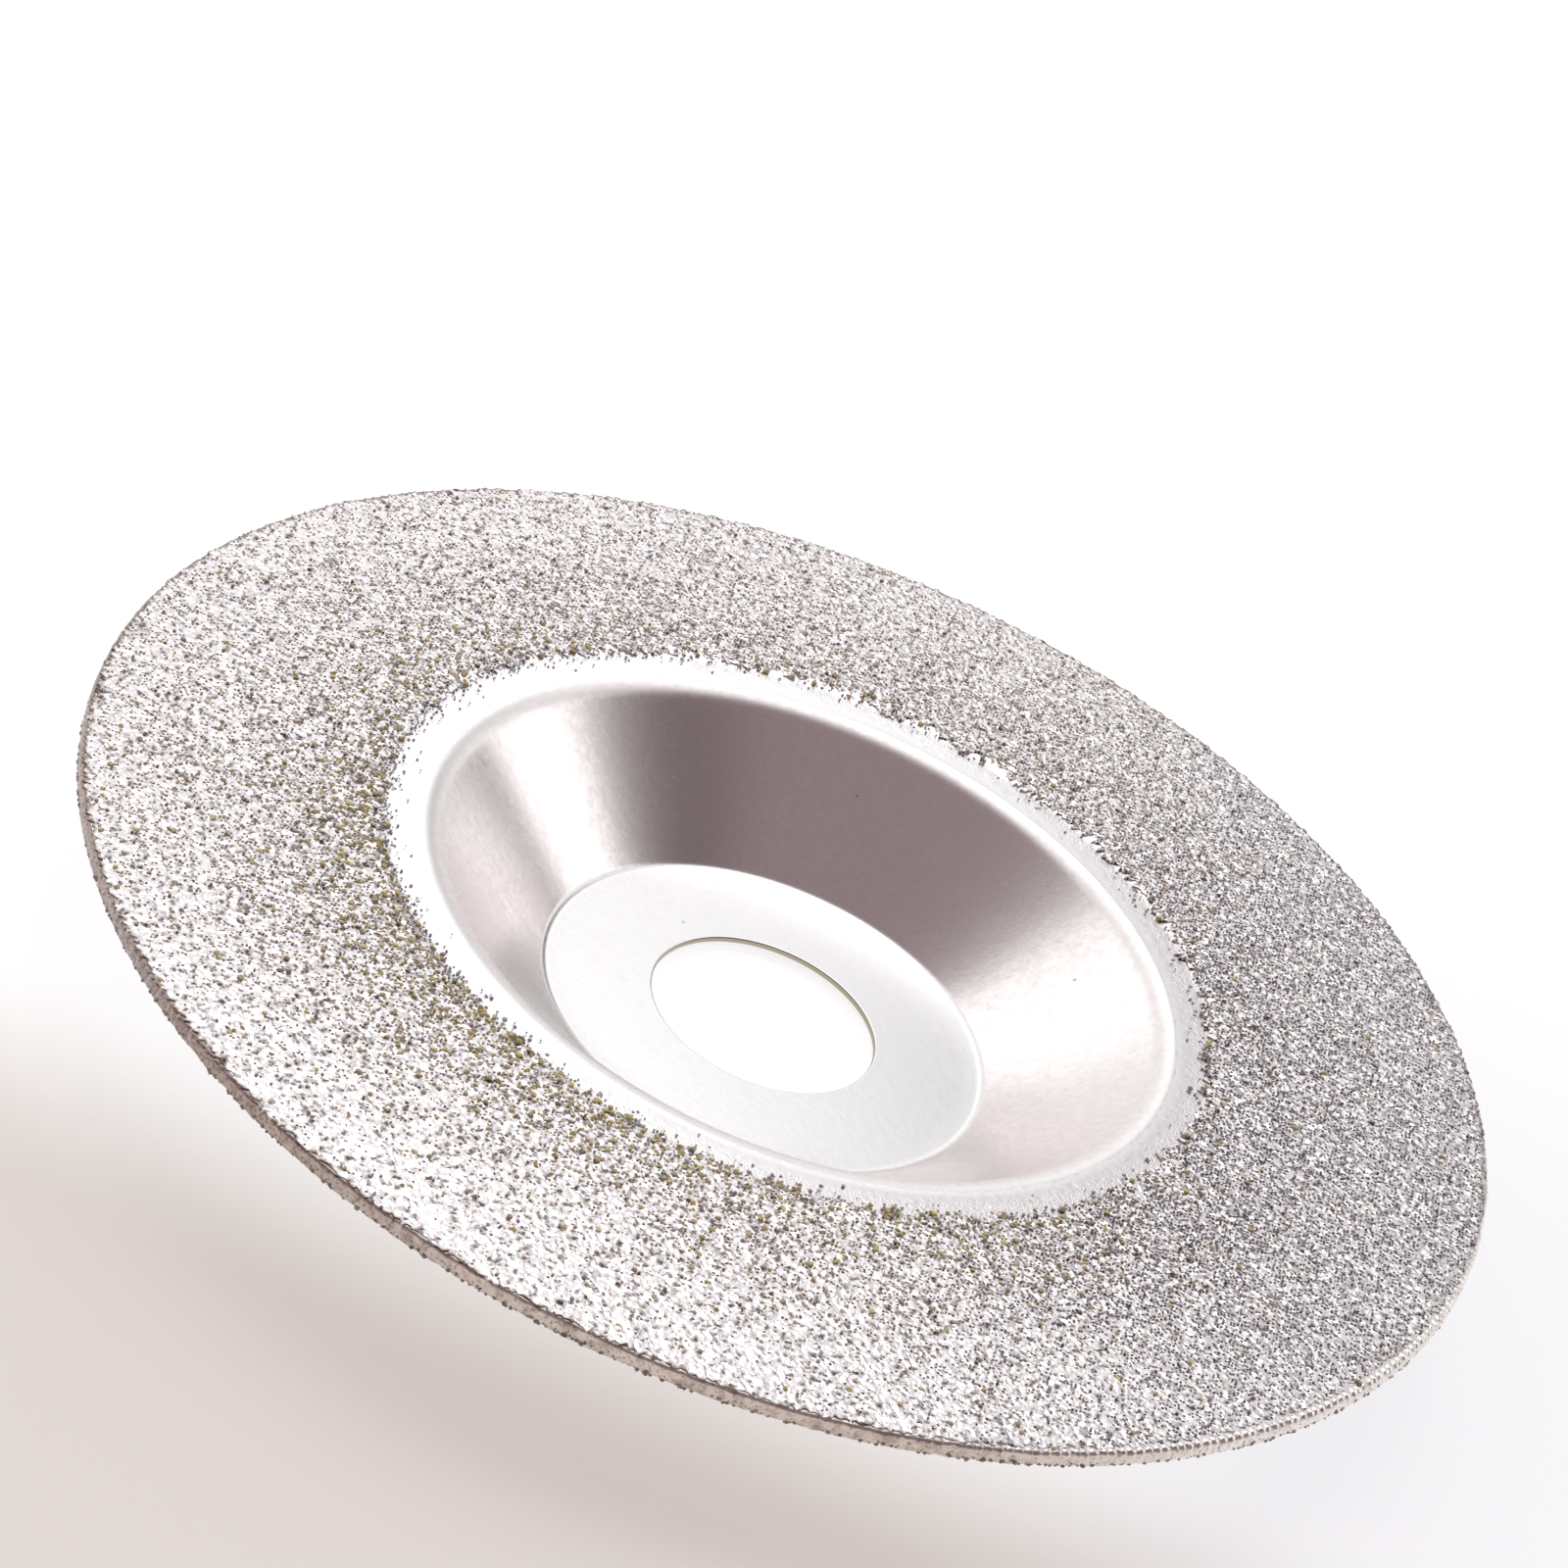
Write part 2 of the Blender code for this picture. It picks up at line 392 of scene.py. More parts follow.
@dataclass(frozen=True)
class GritNickel:
    """Bright nickel grown over packed grit, a little different on every grain, with painted shade in spots
    and pits between grains, more of it on the right, and painted light at the near edge.
    """

    bright: Colour = (0.765, 0.725, 0.735)
    lit: Colour = (0.87, 0.825, 0.835)  # painted light: the nickel's lighter colour at the near edge
    warm: Colour = (0.66, 0.60, 0.595)
    warmth: float = 0.6  # most that a grain has of it
    grey: Colour = (0.44, 0.44, 0.46)
    grey_share: float = 0.09
    grey_dullness: float = 0.5  # what the grey grains lack of a metal
    # painted shade for the spots and pits between grains, in a brown and a grey
    brown_pit_shade: Colour = (0.21, 0.155, 0.095)
    grey_pit_shade: Colour = (0.07, 0.06, 0.07)
    grey_shade_chance: Span = (0.5, 0.9)
    grey_shade_more: float = 0.6  # more of the grey painted shade, on the right
    grain_size: float = 0.3
    spot_size: float = 0.24
    spot_edge: Span = (0.55, 0.3)  # from a spot's middle, as a share of its size
    spot_share: Span = (0.46, 0.25)  # of the cells that take painted shade, at the inner and the outer edge
    spot_reach: Span = (31.0, 48.0)
    spot_more: float = 0.16  # share of the cells that gain painted shade on the right
    right: Span = (4.0, 36.0)  # places across
    spot_less: float = 0.2  # share of the cells that lose painted shade at the near edge, as painted light
    near: Span = (-20.0, -44.0)  # places ahead
    spot_cut: Span = (-0.01, 0.01)
    roughness: float = 0.17
    roughening: Span = (0.14, 0.2)  # by chance, and in the pits
    relief: Span = (0.35, 0.00003)

    def material(self) -> Material:
        """Builds the finish.

        Returns:
            Its material.
        """
        graph = Graph(bpy.data.materials.new("grit_nickel"))
        place = graph.place()
        across, ahead, _ = graph.parts(place)
        right = across.ease(*self.right)
        near = ahead.ease(*self.near)
        tone, shade, gloss = graph.parts(graph.cells(place, self.grain_size, "Color"))
        ripple = graph.cells(place, self.grain_size / 2, "Distance")
        grey = tone.ease(1 - self.grey_share, 1.0)
        # painted light: the nickel is lighter at the near edge
        nickel = graph.mix(shade * self.warmth, graph.mix(near, self.bright, self.lit), self.warm)
        chance, hue, _ = graph.parts(graph.cells(place, self.spot_size, "Color", "2D"))
        spot = graph.cells(place, self.spot_size, "Distance", "2D").ease(*self.spot_edge)
        inner_share, outer_share = self.spot_share
        share = graph.radius(place).ease(*self.spot_reach) * (outer_share - inner_share) + inner_share
        # painted shade: more dark spots on the right, fewer at the near edge
        share = share + right * self.spot_more - near * self.spot_less
        # painted shade: the spots and the marked pits take the dark pit colours
        pit_shade = (spot * (share - chance).ease(*self.spot_cut)).at_least(graph.mark(Mark.PAINTED_SHADE))
        pit = graph.mix((hue + right * self.grey_shade_more).ease(*self.grey_shade_chance), self.brown_pit_shade, self.grey_pit_shade)
        colour = graph.mix(pit_shade, graph.mix(grey, nickel, self.grey), pit)
        by_chance, by_pit = self.roughening
        roughness = self.roughness + gloss * by_chance + pit_shade * by_pit
        metal = 1 - grey * self.grey_dullness
        return graph.surface(colour, roughness, Metallic=metal, Normal=graph.bump(ripple, *self.relief))


@dataclass(frozen=True)
class EdgeNickel:
    """Nickel of the plated edge: bare and bright at one side, partly a painted highlight, painted shade at
    the other, and painted shade in grooves.
    """

    smooth: Colour = (0.80, 0.735, 0.68)
    dark: Colour = (0.46, 0.39, 0.36)
    speck: Colour = (0.20, 0.155, 0.145)
    # painted shade: the darker colour that the plate takes towards the left
    left_shade: Colour = (0.40, 0.32, 0.295)
    # bare nickel with a painted highlight, taken towards the right
    bare: Colour = (0.95, 0.91, 0.87)
    cast: float = 0.8  # most that the plate takes of the last two
    left_shaded: Span = (-4.0, -38.0)  # places across, from clean to full painted shade on the left
    # places across where the plate turns to bare nickel with a painted highlight
    bare_and_lit: Span = (14.0, 34.0)
    runs: Clouds = Clouds(0.9, 4.0, (0.42, 0.72))
    specks: Clouds = Clouds(0.22, 2.0, (0.56, 0.66))
    speck_share: float = 0.7
    left_shade_specks: float = 0.1  # what the dark specks gain on the left, as painted shade
    roughness: float = 0.3
    roughening: float = 0.2  # by the runs
    relief: Span = (0.3, 0.00003)

    def material(self) -> Material:
        """Builds the finish.

        Returns:
            Its material.
        """
        graph = Graph(bpy.data.materials.new("edge_nickel"))
        place = graph.place()
        across = graph.parts(place)[0]
        left_shaded = across.ease(*self.left_shaded)
        runs = graph.noise(place, self.runs)
        # painted shade: more dark specks on the left, and the marked grooves and crest
        specks = graph.noise(place, self.specks) + left_shaded * self.left_shade_specks
        dark = (specks.ease(*self.specks.levels) * self.speck_share).at_least(graph.mark(Mark.PAINTED_SHADE))
        plate = graph.mix(runs.ease(*self.runs.levels), self.smooth, self.dark)
        # painted shade on the left, and bare nickel with a painted highlight on the right
        plate = graph.mix(left_shaded * self.cast, plate, self.left_shade)
        plate = graph.mix(across.ease(*self.bare_and_lit) * self.cast, plate, self.bare)
        colour = graph.mix(dark, plate, self.speck)
        roughness = self.roughness + (runs - NOISE_MEAN) * self.roughening
        return graph.surface(colour, roughness, Metallic=1.0, Normal=graph.bump(runs, *self.relief))


@dataclass(frozen=True)
class BareDiamond:
    """Bare synthetic diamond, each grain with its own tone between two colours."""

    name: str
    pale: Colour
    deep: Colour
    flaws: Clouds = Clouds(0.2, 2.0)
    flaw_share: float = 0.5  # of the tone
    roughness: float = 0.2
    roughening: float = 0.15  # by the flaws
    index: float = 1.7

    def material(self) -> Material:
        """Builds the finish.

        Returns:
            Its material.
        """
        graph = Graph(bpy.data.materials.new(self.name))
        flaws = graph.noise(graph.place(), self.flaws)
        tone = graph.mark(Mark.TONE) + (flaws - NOISE_MEAN) * self.flaw_share
        colour = graph.mix(tone.at_least(0.0).at_most(1.0), self.pale, self.deep)
        return graph.surface(colour, self.roughness + flaws * self.roughening, IOR=self.index)


def new_piece(
    name: str, slot: Slot, material: Material, points: Array, *face_sets: Array
) -> Object:
    """Makes a piece with flat faces, which rides on the part's one body.

    Args:
        name: The piece's name.
        slot: Not used.
        material: Its finish.
        points: One row for each point, in metres.
        face_sets: One row for each face, as places in points.

    Returns:
        The piece.
    """
    mesh = bpy.data.meshes.new(name)
    mesh.from_pydata(points, [], [face for faces in face_sets for face in faces.tolist()])
    mesh.update()
    mesh.materials.append(material)
    made = bpy.data.objects.new(name, mesh)
    bpy.context.scene.collection.objects.link(made)
    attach(made, BODY)
    return made


def keep_mark(piece: Object, mark: Mark, values: Array) -> None:
    """Keeps a value at each point of a piece."""
    kept = piece.data.attributes.new(mark.value, "FLOAT", "POINT")
    kept.data.foreach_set("value", values.astype(np.float32))


def spread(piece: Object, points: Array, reach: float, hidden: int = 0) -> None:
    """Gives each point of a piece its place on a UV map, as seen along the axis.

    Args:
        piece: The piece.
        points: Its points.
        reach: Radius that fills a map.
        hidden: How many of the last points are on an underside, which gets a corner of the map.
    """
    spots = np.clip(points[:, :2] / (2 * reach) + 0.5, 0.0, 1.0)
    spots[len(points) - hidden :] *= UNDERSIDE
    corners = np.empty(len(piece.data.loops), dtype=np.int32)
    piece.data.loops.foreach_get("vertex_index", corners)
    piece.data.uv_layers.new(name="spread").data.foreach_set("uv", spots[corners].ravel())


def smooth(piece: Object, sharp: float) -> None:
    """Shades a piece as one surface, apart from edges sharper than an angle."""
    piece.data.shade_smooth()
    piece.data.set_sharp_from_angle(angle=sharp)


def turned(section: Section, segments: int) -> tuple[Array, Array]:
    """Turns a closed section round the axis.

    Args:
        section: The section's points.
        segments: Steps in the turn.

    Returns:
        The points, as segments by section points by three, and the faces as places in them.
    """
    angles = np.arange(segments) * TURN / segments
    radii, heights = np.array(section).T
    across, ahead = np.outer(np.cos(angles), radii), np.outer(np.sin(angles), radii)
    points = np.stack([across, ahead, np.broadcast_to(heights, across.shape)], axis=-1)
    rows = len(section)
    step, row = np.meshgrid(np.arange(segments), np.arange(rows), indexing="ij")
    after, following = (step + 1) % segments, (row + 1) % rows
    corners = [step * rows + row, after * rows + row, after * rows + following, step * rows + following]
    return points, np.stack([corner.ravel() for corner in corners], axis=1)


def arc(centre: Span, reach: float, start: float, stop: float, steps: int) -> Section:
    """Section points on an arc between two angles, which count from straight out towards up."""
    turns = [start + (stop - start) * step / steps for step in range(steps + 1)]
    return [(centre[0] + reach * math.cos(turn), centre[1] + reach * math.sin(turn)) for turn in turns]


def between(start: Span, stop: Span, steps: int) -> Section:
    """Section points on a straight line, without its two ends."""
    shares = [step / steps for step in range(1, steps)]
    return [tuple(a + (b - a) * share for a, b in zip(start, stop)) for share in shares]


def shifted(base: float, span: Span) -> Span:
    """A span that counts from a base."""
    return base + span[0], base + span[1]


@dataclass
class PressedDisc:
    """The pressed sheet: bore, flat hub, dish wall, rounded shoulder and flat rim."""

    bore_radius: float = 0.0081
    bore_break: float = 0.00012
    bore_roll: float = 0.0001  # drawn in by the punch, at the front
    floor_radius: float = 0.016
    wall_angle: float = math.radians(40.0)
    floor_fillet: float = 0.001
    shoulder_radius: float = 0.0025
    sheet: float = 0.0008
    roll_steps: int = 4
    hub_steps: int = 5
    fillet_steps: int = 10
    wall_steps: int = 8
    shoulder_steps: int = 16
    rim_steps: int = 10
    segments: int = 360
    sharp: float = math.radians(35.0)

    def __post_init__(self) -> None:
        """Takes the rim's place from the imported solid."""
        self.rim_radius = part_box("pressed_disc")[1][0]
        self.rim_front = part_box("pressed_disc")[1][2]
        depth = self.rim_front - self.sheet
        shoulder_corner = self.floor_radius + depth / math.tan(self.wall_angle)
        self.shoulder_outer = shoulder_corner + self.shoulder_radius * math.tan(self.wall_angle / 2)
        self.fillet_middle = self.floor_radius - self.floor_fillet * math.tan(self.wall_angle / 2)

    def face(self, behind: float) -> Section:
        """Draws a face from the hub's fillet to the rim's edge.

        Args:
            behind: Depth behind the front face.

        Returns:
            The section's points, from the hub outwards.
        """
        fillet_centre = (self.fillet_middle, self.sheet + self.floor_fillet)
        shoulder_centre = (self.shoulder_outer, self.rim_front - self.shoulder_radius)
        turn = self.wall_angle
        foot = arc(fillet_centre, self.floor_fillet + behind, -QUARTER, turn - QUARTER, self.fillet_steps)
        reach = self.shoulder_radius - behind
        top = arc(shoulder_centre, reach, QUARTER + turn, QUARTER, self.shoulder_steps)
        edge = (self.rim_radius, self.rim_front - behind)
        wall = between(foot[-1], top[0], self.wall_steps)
        return foot + wall + top + between(top[-1], edge, self.rim_steps) + [edge]

    def section(self) -> Section:
        """Draws the closed section of the sheet.

        Returns:
            The section's points, from the bore out along the front and home along the back.
        """
        roll_centre = (self.bore_radius + self.bore_roll, self.sheet - self.bore_roll)
        roll = arc(roll_centre, self.bore_roll, math.pi, QUARTER, self.roll_steps)
        front = self.face(0.0)
        back = self.face(self.sheet)
        back_bore = [(self.bore_radius + self.bore_break, 0.0), (self.bore_radius, self.bore_break)]
        held = (roll[-1][0] + self.bore_roll / 2, self.sheet)  # keeps the roll's shading off the hub
        hub = [held] + between(held, front[0], self.hub_steps)
        hub_back = between(back[0], back_bore[0], self.hub_steps)
        return roll + hub + front + back[::-1] + hub_back + back_bore

    def build(self, material: Material) -> Object:
        """Builds and dresses the sheet.

        Args:
            material: The steel's finish.

        Returns:
            The piece.
        """
        points, faces = turned(self.section(), self.segments)
        made = new_piece("pressed_steel_disc", Slot.STEEL, material, points.reshape(-1, 3), faces)
        smooth(made, self.sharp)
        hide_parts("pressed_disc")
        return made


@dataclass
class Loop:
    """A closed edge round the axis, with a radius at each of its sorted angles."""

    SLACK = 0.35  # most that a point strays along a ragged edge, as a share of the pitch

    angles: Array
    radii: Array

    def reach(self, angle: Array) -> Array:
        """Finds where the edge's chords lie.

        Args:
            angle: Angles round the axis.

        Returns:
            The chords' radii there.
        """
        after = np.searchsorted(self.angles, angle, side="right") % len(self.angles)
        before = after - 1
        lead = (angle - self.angles[before]) % TURN
        lag = (self.angles[after] - angle) % TURN
        near, far = self.radii[before], self.radii[after]
        return near * far * np.sin(lead + lag) / (near * np.sin(lead) + far * np.sin(lag))

    def points(self) -> Array:
        """The edge's points in the plane."""
        return np.stack([self.radii * np.cos(self.angles), self.radii * np.sin(self.angles)], axis=1)

    @classmethod
    def ragged(cls, radius: float, stray: float, pitch: float, draws: Draws) -> "Loop":
        """Draws an uneven edge.

        Args:
            radius: Mean radius.
            stray: Most that a point strays from it.
            pitch: Distance between points.
            draws: Source of chance.

        Returns:
            The edge.
        """
        count = round(TURN * radius / pitch)
        slack = draws.uniform(-cls.SLACK, cls.SLACK, count)
        angles = np.sort((np.arange(count) + 0.5 + slack) * TURN / count)
        return cls(angles, radius + stray * draws.uniform(-1.0, 1.0, count))


def polar(points: Array) -> tuple[Array, Array]:
    """Angles from 0 to a full turn, and radii, of points in the plane."""
    return np.arctan2(points[:, 1], points[:, 0]) % TURN, np.hypot(points[:, 0], points[:, 1])


def uneven(count: int, knots: int, draws: Draws) -> Array:
    """A random run of values from -1 to 1 round the axis, in straight lines from knot to knot."""
    values = draws.uniform(-1.0, 1.0, knots)
    return np.interp(np.arange(count) / count * knots, np.arange(knots + 1), np.append(values, values[0]))


@dataclass(frozen=True)
class GritField:
    """Where a layer of grit lies: from an inner edge that may be off centre out to the rim."""

    inner: float
    outer: float
    off_centre: float = 0.0
    towards: float = 0.0

    def start(self, angles: Array) -> Array:
        """Radius of the inner edge at angles round the axis."""
        return self.inner + self.off_centre * np.cos(angles - self.towards)


def strewn(
    inner: Loop, outer: Loop, pitch: float, draws: Draws, jitter: float = 0.36, clear: float = 0.55
) -> Array:
    """Strews points evenly, but in no pattern, between two edges.

    Args:
        inner: Edge on the inside.
        outer: Edge on the outside.
        pitch: Distance between points.
        draws: Source of chance.
        jitter: Most that a point strays from a lattice, as a share of the pitch.
        clear: Least distance from an edge, as a share of the pitch.

    Returns:
        The points in the plane.
    """
    row_pitch = pitch * math.sqrt(3) / 2
    span = outer.radii.max()
    column, row = np.meshgrid(np.arange(-span, span, pitch), np.arange(-span, span, row_pitch))
    column[1::2] += pitch / 2
    points = np.stack([column.ravel(), row.ravel()], axis=1)
    points += draws.uniform(-jitter, jitter, points.shape) * pitch
    angle, radius = polar(points)
    gap = pitch * clear
    return points[(radius > inner.reach(angle) + gap) & (radius < outer.reach(angle) - gap)]


def knit(points: Array, inner: Loop, outer: Loop) -> Array:
    """Joins points between two edges by triangles.

    Args:
        points: Points in the plane, with the inner edge's and then the outer edge's at the end.
        inner: Edge on the inside.
        outer: Edge on the outside.

    Returns:
        One row for each triangle, as places in points, facing up.
    """
    first = len(points) - len(inner.radii) - len(outer.radii)
    seams = []
    for count in (len(inner.radii), len(outer.radii)):
        seams += [(first + step, first + (step + 1) % count) for step in range(count)]
        first += count
    flat = [Vector(point) for point in (points * MILLIMETRES).tolist()]
    faces = np.array(delaunay_2d_cdt(flat, seams, [], 0, WELD, False)[2])
    a, b, c = (points[faces[:, corner]] for corner in range(3))
    turned = np.cross(b - a, c - a) < 0
    faces[turned] = faces[turned][:, ::-1]
    angle, radius = polar((a + b + c) / 3)
    return faces[(radius > inner.reach(angle)) & (radius < outer.reach(angle))]


@dataclass
class Coat:
    """A coat on the rim, with relief between an inner and an outer edge."""

    name: str
    node: str
    slot: Slot
    side: Side
    inner: Loop
    outer: Loop
    skirts: Span = (0.0, 0.0)  # hang of the inner and the outer edge below the base

    def build(
        self, strewn_points: Array, relief: Array, material: Material
    ) -> Object:
        """Closes the relief with walls and an underside, and dresses it.

        The piece's points are the strewn ones, the edges' points, and then the edges' points below.

        Args:
            strewn_points: Points in the plane between the edges.
            relief: Height of those points, then of the inner and the outer edge's points.
            material: The coat's finish.

        Returns:
            The piece.
        """
        low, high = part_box(self.node)
        up = self.side.value
        base = low[2] if self.side is Side.FRONT else high[2]
        inside, outside = len(self.inner.radii), len(self.outer.radii)
        edges = np.concatenate([self.inner.points(), self.outer.points()])
        points = np.concatenate([strewn_points, edges])
        top = np.column_stack([points, base + up * relief])
        hang = np.repeat(self.skirts, [inside, outside])
        under = np.column_stack([edges, base - up * hang])
        above, below = len(strewn_points), len(points)
        walls = []
        for first, count, order in ((0, inside, -1), (inside, outside, 1)):
            here = first + np.arange(count)
            there = first + (np.arange(count) + 1) % count
            wall = np.stack([above + here, below + here, below + there, above + there], axis=1)
            walls.append(wall[:, :: order * up])
        faces = knit(points, self.inner, self.outer)[:, ::up]
        floor = knit(edges, self.inner, self.outer)[:, ::-up] + below
        whole = np.concatenate([top, under])
        made = new_piece(self.name, self.slot, material, whole, faces, floor, *walls)
        spread(made, whole, self.outer.radii.max(), hidden=len(under))
        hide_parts(self.node)
        return made


@dataclass
class BondCoat:
    """The nickel bond: a frosted margin that feathers out inside the grit, and a flat bed under it."""

    start: float = 0.0270  # radius where the plating feathers out, on the shoulder
    feather: float = 0.0008  # width over which the film thickens from nothing
    fringe: float = 0.00015
    film: float = 0.00001  # thickness of the margin
    swell: float = 0.001  # width over which the film thickens, under the grit's edge
    swell_lead: float = 0.35  # share of that width that lies inside the edge
    cover: float = 0.0016  # width of the lumps that reach under the grit
    lump: float = 0.000006
    least: float = 0.000002
    pitch: float = 0.00021
    rim_pitches: int = 4  # between points of the rim, which the grit hides
    sharp: float = math.radians(50.0)
    seed: int = 5

    def build(self, grit_inner: float, rim: float, material: Material) -> Object:
        """Builds and dresses the bond.

        Args:
            grit_inner: Radius where the grit begins.
            rim: Radius where the bond ends.
            material: The nickel's finish.

        Returns:
            The piece.
        """
        draws = np.random.default_rng(self.seed)
        low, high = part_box("front_nickel_bond")
        thickness = high[2] - low[2]
        inner = Loop.ragged(self.start, self.fringe, self.pitch, draws)
        cover = Loop.ragged(grit_inner + self.cover, 0.0, self.pitch, draws)
        outer = Loop.ragged(rim, 0.0, self.pitch * self.rim_pitches, draws)
        margin = strewn(inner, cover, self.pitch, draws)
        radius = polar(margin)[1]
        rise = np.clip((radius - self.start) / self.feather, 0.0, 1.0)
        swell = np.clip((radius - grit_inner) / self.swell + self.swell_lead, 0.0, 1.0)
        film = (self.film + self.lump * draws.uniform(-1.0, 1.0, len(margin))) * rise
        relief = [
            np.clip(film + swell * (thickness - self.film), self.least, thickness),
            np.full(len(cover.radii), thickness),
            np.full(len(inner.radii), self.least),
            np.full(len(outer.radii), thickness),
        ]
        coat = Coat("nickel_bond_coat", "front_nickel_bond", Slot.BOND, Side.FRONT, inner, outer)
        made = coat.build(np.concatenate([margin, cover.points()]), np.concatenate(relief), material)
        smooth(made, self.sharp)
        return made


@dataclass
class GritCoat:
    """A bed of nickel-clad grit: flat-faced relief, with tips that stand out of it, and pits marked for
    painted shade.
    """

    name: str
    node: str
    side: Side
    field: GritField
    stray: float = 0.00045
    bay: float = 0.0016  # width of the bays in the inner edge
    nibble: float = 0.0002
    sill: Span = (-0.00004, 0.00003)  # height of the inner edge
    recess: float = 0.0  # most that the outer edge draws back, towards the ridged stretch of the rim
    skirts: Span = (0.0, 0.0)
    pitch: float = 0.000247
    bed: Span = (0.000045, 0.00009)
    tips: Span = (0.00009, 0.00017)
    pits: Span = (0.0, 0.000015)
    tip_share: Span = (0.27, 0.12)  # at the inner and the outer edge
    pit_share: Span = (0.08, 0.03)
    edge_shade: float = 0.8  # share of the outer edge's points that get painted shade
    seed: int = 3

    def build(self, material: Material) -> Object:
        """Builds and dresses the bed.

        Args:
            material: The nickel's finish.

        Returns:
            The piece.
        """
        draws = np.random.default_rng(self.seed)
        field = self.field
        inner = Loop.ragged(field.inner, self.stray, self.pitch, draws)
        inner.radii += field.start(inner.angles) - field.inner
        bays = round(TURN * field.inner / self.bay)
        inner.radii += self.stray * uneven(len(inner.radii), bays, draws)
        outer = Loop.ragged(field.outer - self.nibble, self.nibble, self.pitch, draws)
        bare = EdgeBand.bare(outer.angles)
        outer.radii -= self.recess * bare
        points = strewn(inner, outer, self.pitch, draws)
        count = len(points)
        outwards = np.clip((polar(points)[1] - field.inner) / (field.outer - field.inner), 0.0, 1.0)
        chance = draws.random(count)
        tip = chance < np.interp(outwards, (0, 1), self.tip_share)
        pit = chance > 1 - np.interp(outwards, (0, 1), self.pit_share)
        beds, tips, pits = (draws.uniform(*span, count) for span in (self.bed, self.tips, self.pits))
        sills = draws.uniform(*self.sill, len(inner.radii))
        rims = draws.uniform(self.bed[0] / 2, self.tips[0], len(outer.radii))
        relief = np.concatenate([np.select([tip, pit], [tips, pits], beds), sills, rims])
        coat = Coat(self.name, self.node, Slot.GRIT, self.side, inner, outer, self.skirts)
        made = coat.build(points, relief, material)
        # painted shade: pits and most points of the outer edge, away from the bare stretch, are marked dark
        shaded = (draws.random(len(outer.radii)) < self.edge_shade) * (1 - bare)
        bright = np.zeros(len(inner.radii))
        keep_mark(made, Mark.PAINTED_SHADE, np.concatenate([pit, bright, shaded, bright, shaded]))
        return made


@dataclass
class Grains:
    """Blocky crystals half sunk in the coat, closest together at its inner edge."""

    name: str
    count: int
    size: Span
    field: GritField
    tops: Span  # heights of the grains' highest points
    crowd: float = 0.0  # share of the grains that crowd along the inner edge
    crowd_width: float = 0.0012
    crowd_lead: float = 0.4  # share of that width by which they pass the edge
    scatter: float = 0.0002
    towards: float = math.radians(235.0)
    least: float = 1.0  # density on the side away from that direction, as a share of the most
    stretch: Span = (0.8, 1.15)
    chip: float = 0.06  # stray of a grain's corners, as a share of its half width
    flatness: float = 0.7
    seed: int = 20

    @staticmethod
    def crystal() -> tuple[Array, list[Array]]:
        """Cuts the corners of a cube back to the middles of its edges.

        Returns:
            The points that are left, and the faces as places in them.
        """
        steps = (-1, 0, 1)
        lattice = np.array([(x, y, z) for x in steps for y in steps for z in steps], dtype=float)
        reach = np.abs(lattice).sum(axis=1)
        points = lattice[reach == 2]
        faces = []
        for normal in np.concatenate([lattice[reach == 3], lattice[reach == 1]]):
            height = points @ normal
            ring = np.flatnonzero(np.isclose(height, height.max()))
            spokes = points[ring] - points[ring].mean(axis=0)
            ahead = spokes[0]
            aside = np.cross(normal, ahead) / np.linalg.norm(normal)
            faces.append(ring[np.argsort(np.arctan2(spokes @ aside, spokes @ ahead))])
        return points / math.sqrt(2), faces

    def angles(self, draws: Draws) -> Array:
        """Draws the grains' angles, more often towards their direction.

        Args:
            draws: Source of chance.

        Returns:
            The angles.
        """
        grid = np.linspace(0.0, TURN, 2 * 360 + 1)  # every half degree
        density = self.least + (1 - self.least) * (0.5 + 0.5 * np.cos(grid - self.towards)) ** 2
        total = np.cumsum(density)
        return np.interp(draws.uniform(total[0], total[-1], self.count), total, grid)

    def build(self, material: Material) -> Object:
        """Builds and dresses the grains.

        Args:
            material: The grains' finish.

        Returns:
            The piece.
        """
        draws = np.random.default_rng(self.seed)
        angle = self.angles(draws)
        inner, outer = self.field.start(angle), self.field.outer
        spaced = np.sqrt(inner**2 + (outer**2 - inner**2) * draws.random(self.count))
        near = inner + self.crowd_width * (draws.exponential(1.0, self.count) - self.crowd_lead)
        near += draws.normal(0, self.scatter, self.count)
        crowded = (draws.random(self.count) < self.crowd) & (near < outer)
        radius = np.where(crowded, near, spaced)
        corners, faces = self.crystal()
        blocks = corners * draws.uniform(*self.stretch, (self.count, 1, 3))
        blocks += draws.normal(0, self.chip, blocks.shape)
        spin = np.linalg.qr(draws.normal(size=(self.count, 3, 3)))[0]
        spin[np.linalg.det(spin) < 0] *= -1
        blocks = blocks @ spin * draws.uniform(*self.size, (self.count, 1, 1)) / 2
        blocks[..., 2] *= self.flatness
        height = draws.uniform(*self.tops, self.count) - blocks[..., 2].max(axis=1)
        middles = np.stack([radius * np.cos(angle), radius * np.sin(angle), height], axis=1)
        points = (blocks + middles[:, None]).reshape(-1, 3)
        first = np.arange(self.count)[:, None] * len(corners)
        made = new_piece(self.name, Slot.GRIT, material, points, *(first + face for face in faces))
        spread(made, points, outer)
        keep_mark(made, Mark.TONE, np.repeat(draws.random(self.count), len(corners)))
        return made


